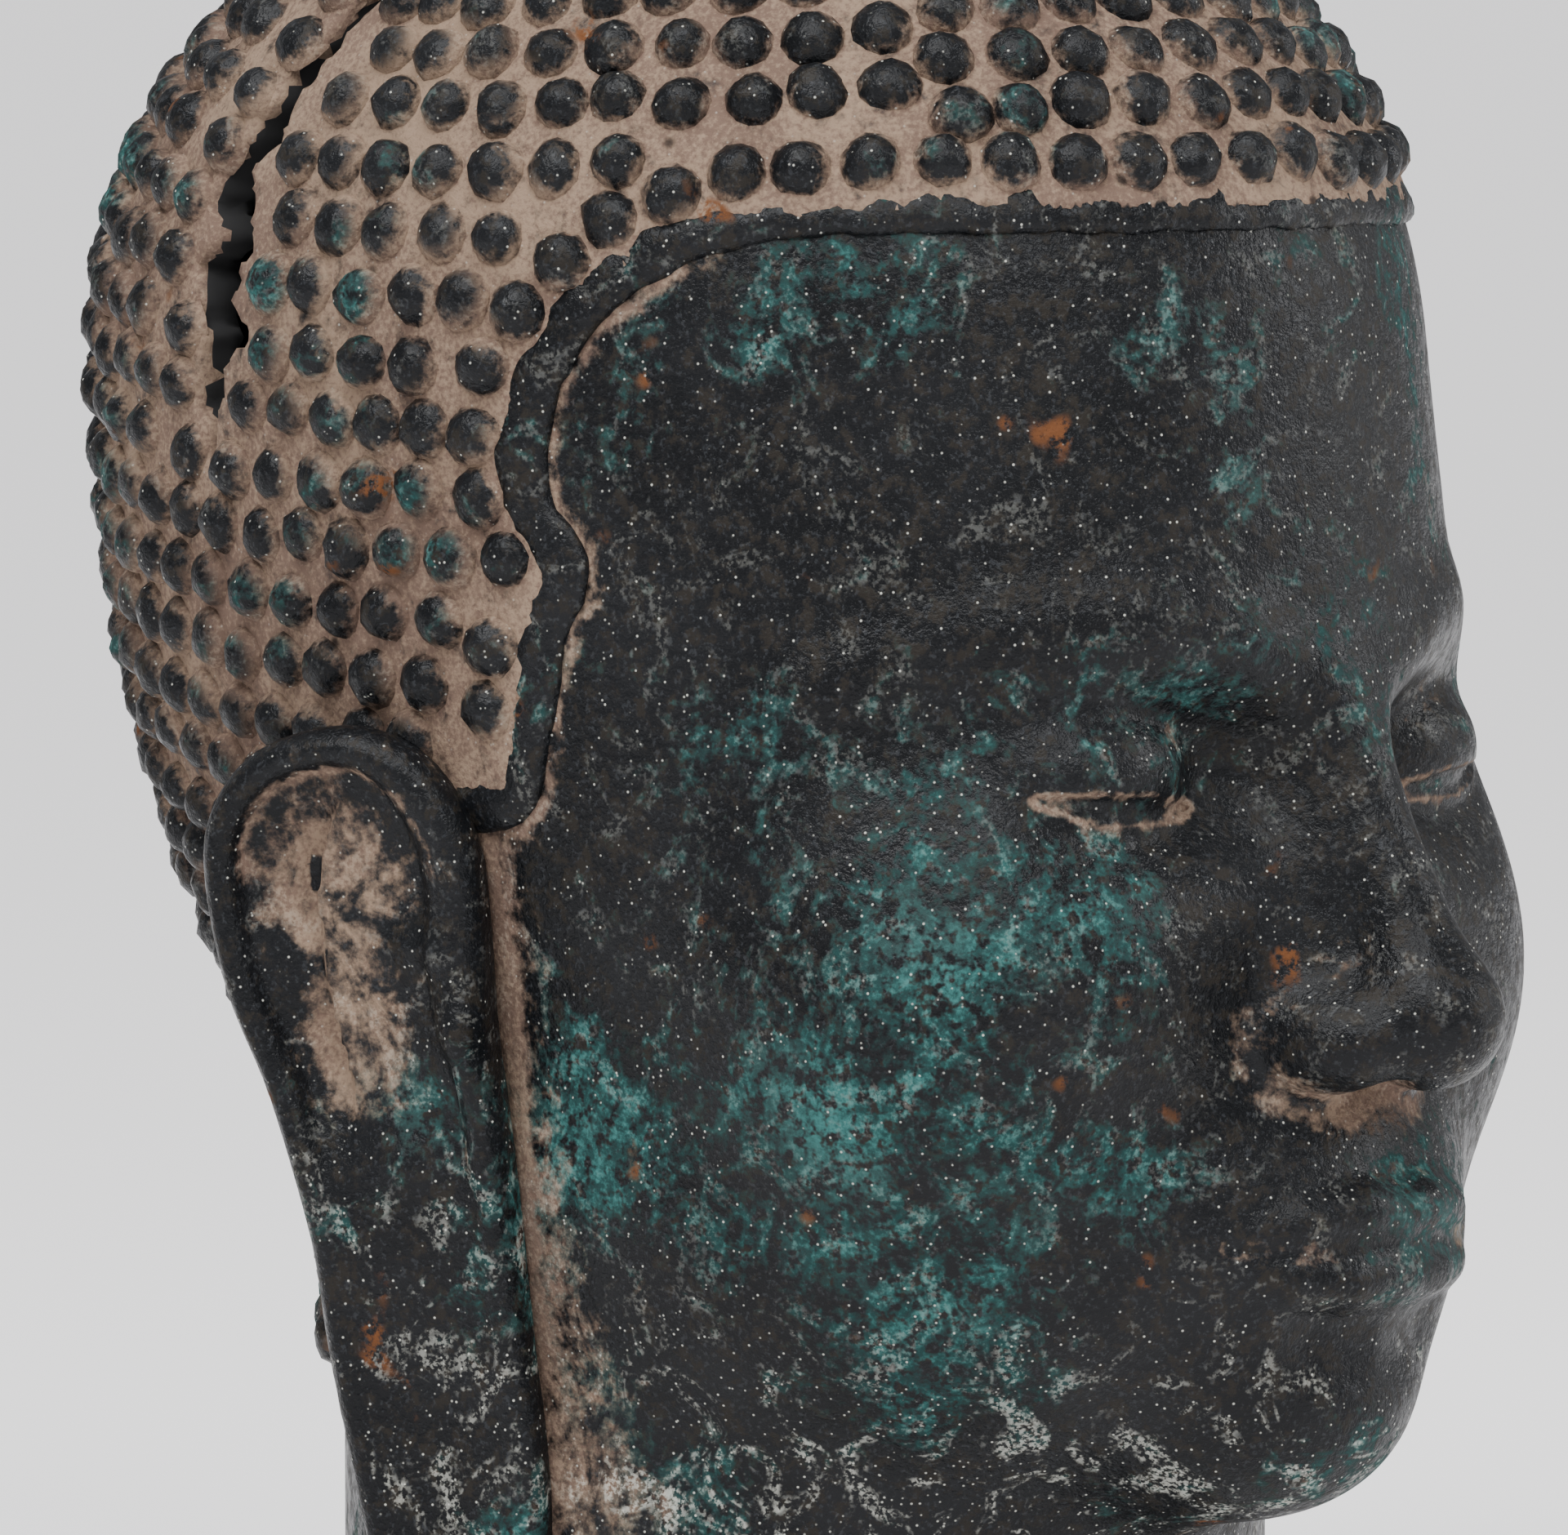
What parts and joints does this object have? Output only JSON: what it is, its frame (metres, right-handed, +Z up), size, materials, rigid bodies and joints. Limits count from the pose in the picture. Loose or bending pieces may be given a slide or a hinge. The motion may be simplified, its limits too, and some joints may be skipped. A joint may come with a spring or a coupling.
{
  "type": "buddha head",
  "caption": "Hollow cast bronze head of the Buddha with rows of raised curls, a cranial mound and long ear lobes, cut flat at the neck so that it stands on its own.",
  "frame": {"origin": "centre of the whole part's box, on the flat underside of the neck", "axes": "+Z up, the face looks along -Y, the head's right ear is on -X"},
  "size_m": [0.1572, 0.194, 0.2738],
  "materials": {
    "bronze": "dark patinated bronze, satin to matt, with green corrosion and earth in the recesses"
  },
  "bodies": {
    "root": {"buddha_head": "bronze"}
  },
  "joints": []
}
